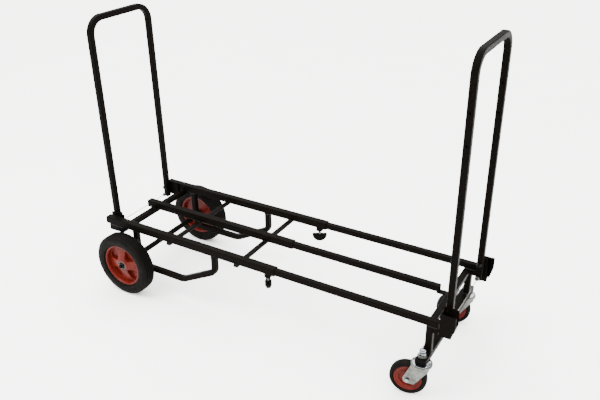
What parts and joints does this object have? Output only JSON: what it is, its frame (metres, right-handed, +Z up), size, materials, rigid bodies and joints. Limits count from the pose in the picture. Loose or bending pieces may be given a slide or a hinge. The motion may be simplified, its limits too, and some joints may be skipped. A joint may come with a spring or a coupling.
{
  "type": "convertible hand truck",
  "caption": "Folding, telescoping equipment cart: square-tube deck, folding U handles, red-rimmed rear wheels and swivel casters.",
  "frame": {"origin": "on the floor, under the middle of the bounding box", "axes": "+X along the deck towards the casters, +Y to the left of someone facing +X, +Z up"},
  "size_m": [1.2762, 0.4804, 0.987],
  "materials": {
    "powder_coat": "fine-textured satin black powder coat",
    "black_plastic": "moulded black plastic, satin",
    "tyre_rubber": "black rubber, matt",
    "red_plastic": "moulded red plastic, semi-gloss",
    "zinc_plate": "bright zinc plate",
    "black_bolt": "black oxide",
    "steel_wire": "bright steel wire"
  },
  "bodies": {
    "rear_frame": {"right_side_rail": "powder_coat", "left_side_rail": "powder_coat", "centre_rail": "powder_coat", "right_side_rail_plug": "black_plastic", "left_side_rail_plug": "black_plastic", "centre_rail_plug": "black_plastic", "rear_cross_tube": "powder_coat", "tie_bar_1": "powder_coat", "tie_bar_2": "powder_coat", "right_skid_loop": "powder_coat", "left_skid_loop": "powder_coat", "right_clamp_boss": "powder_coat", "left_clamp_boss": "powder_coat", "right_rear_bracket": "powder_coat", "left_rear_bracket": "powder_coat", "rear_axle": "powder_coat", "right_rear_pivot_bolt": "black_bolt", "left_rear_pivot_bolt": "black_bolt"},
    "front_frame": {"right_slider": "powder_coat", "left_slider": "powder_coat", "centre_slider": "powder_coat", "centre_tongue": "powder_coat", "front_cross_tube": "powder_coat", "right_leg": "powder_coat", "left_leg": "powder_coat", "low_cross_tube": "powder_coat", "right_low_cross_plug": "black_plastic", "left_low_cross_plug": "black_plastic", "right_front_bracket": "powder_coat", "left_front_bracket": "powder_coat", "right_kingpin": "zinc_plate", "left_kingpin": "zinc_plate", "right_front_pivot_bolt": "black_bolt", "left_front_pivot_bolt": "black_bolt"},
    "rear_handle": {"rear_handle": "powder_coat", "rear_pull_wire": "steel_wire"},
    "front_handle": {"front_handle": "powder_coat", "front_pull_wire": "steel_wire"},
    "right_rear_lock_pin": {"right_rear_lock_pin": "zinc_plate"},
    "left_rear_lock_pin": {"left_rear_lock_pin": "zinc_plate"},
    "right_front_lock_pin": {"right_front_lock_pin": "zinc_plate"},
    "left_front_lock_pin": {"left_front_lock_pin": "zinc_plate"},
    "right_rear_wheel": {"right_rear_tyre": "tyre_rubber", "right_rear_rim": "red_plastic", "right_wheel_bearing": "zinc_plate"},
    "right_clamp": {"right_clamp_stud": "zinc_plate", "right_wing_knob": "black_plastic"},
    "right_caster_yoke": {"right_caster_fork": "zinc_plate", "right_caster_bolt": "zinc_plate"},
    "right_caster_wheel": {"right_caster_tyre": "tyre_rubber", "right_caster_rim": "red_plastic"},
    "left_rear_wheel": {"left_rear_tyre": "tyre_rubber", "left_rear_rim": "red_plastic", "left_wheel_bearing": "zinc_plate"},
    "left_clamp": {"left_clamp_stud": "zinc_plate", "left_wing_knob": "black_plastic"},
    "left_caster_yoke": {"left_caster_fork": "zinc_plate", "left_caster_bolt": "zinc_plate"},
    "left_caster_wheel": {"left_caster_tyre": "tyre_rubber", "left_caster_rim": "red_plastic"}
  },
  "joints": [
    {"name": "front_frame_slide", "type": "slide", "parent": "rear_frame", "child": "front_frame", "axis": [1, 0, 0], "range_m": [-0.44, 0.03]},
    {"name": "rear_handle_fold", "type": "hinge", "parent": "rear_frame", "child": "rear_handle", "pos_m": [-0.61395, 0, 0.242], "axis": [0, 1, 0], "range_deg": [-90, 88]},
    {"name": "front_handle_fold", "type": "hinge", "parent": "front_frame", "child": "front_handle", "pos_m": [0.60675, 0, 0.276], "axis": [0, 1, 0], "range_deg": [-84, 90]},
    {"name": "right_rear_lock_pin_pull", "type": "slide", "parent": "rear_handle", "child": "right_rear_lock_pin", "axis": [0, 1, 0], "range_m": [0, 0.008], "stiffness_N_per_m": 300, "deforming": ["rear_pull_wire"]},
    {"name": "left_rear_lock_pin_pull", "type": "slide", "parent": "rear_handle", "child": "left_rear_lock_pin", "axis": [0, -1, 0], "range_m": [0, 0.008], "stiffness_N_per_m": 300},
    {"name": "right_front_lock_pin_pull", "type": "slide", "parent": "front_handle", "child": "right_front_lock_pin", "axis": [0, 1, 0], "range_m": [0, 0.008], "stiffness_N_per_m": 300, "deforming": ["front_pull_wire"]},
    {"name": "left_front_lock_pin_pull", "type": "slide", "parent": "front_handle", "child": "left_front_lock_pin", "axis": [0, -1, 0], "range_m": [0, 0.008], "stiffness_N_per_m": 300},
    {"name": "right_clamp_turn", "type": "hinge", "parent": "rear_frame", "child": "right_clamp", "pos_m": [0.03705, -0.164, 0.19], "axis": [0, 0, 1], "range_deg": [-360, 0]},
    {"name": "left_clamp_turn", "type": "hinge", "parent": "rear_frame", "child": "left_clamp", "pos_m": [0.03705, 0.164, 0.19], "axis": [0, 0, 1], "range_deg": [-360, 0]},
    {"name": "right_rear_wheel_spin", "type": "hinge", "parent": "rear_frame", "child": "right_rear_wheel", "pos_m": [-0.52565, -0.2102, 0.1124], "axis": [0, 1, 0], "continuous": true},
    {"name": "left_rear_wheel_spin", "type": "hinge", "parent": "rear_frame", "child": "left_rear_wheel", "pos_m": [-0.52565, 0.2102, 0.1124], "axis": [0, 1, 0], "continuous": true},
    {"name": "right_caster_swivel", "type": "hinge", "parent": "front_frame", "child": "right_caster_yoke", "pos_m": [0.55905, -0.189, 0.11], "axis": [0, 0, 1], "continuous": true},
    {"name": "right_caster_spin", "type": "hinge", "parent": "right_caster_yoke", "child": "right_caster_wheel", "pos_m": [0.52507, -0.19499, 0.0546], "axis": [-0.1736, 0.9848, 0], "continuous": true},
    {"name": "left_caster_swivel", "type": "hinge", "parent": "front_frame", "child": "left_caster_yoke", "pos_m": [0.55905, 0.189, 0.11], "axis": [0, 0, 1], "continuous": true},
    {"name": "left_caster_spin", "type": "hinge", "parent": "left_caster_yoke", "child": "left_caster_wheel", "pos_m": [0.52573, 0.18007, 0.0546], "axis": [-0.2588, 0.9659, 0], "continuous": true}
  ],
  "couplings": [
    {"joint": "left_rear_lock_pin_pull", "follows": "right_rear_lock_pin_pull", "ratio": 1},
    {"joint": "left_front_lock_pin_pull", "follows": "right_front_lock_pin_pull", "ratio": 1}
  ]
}
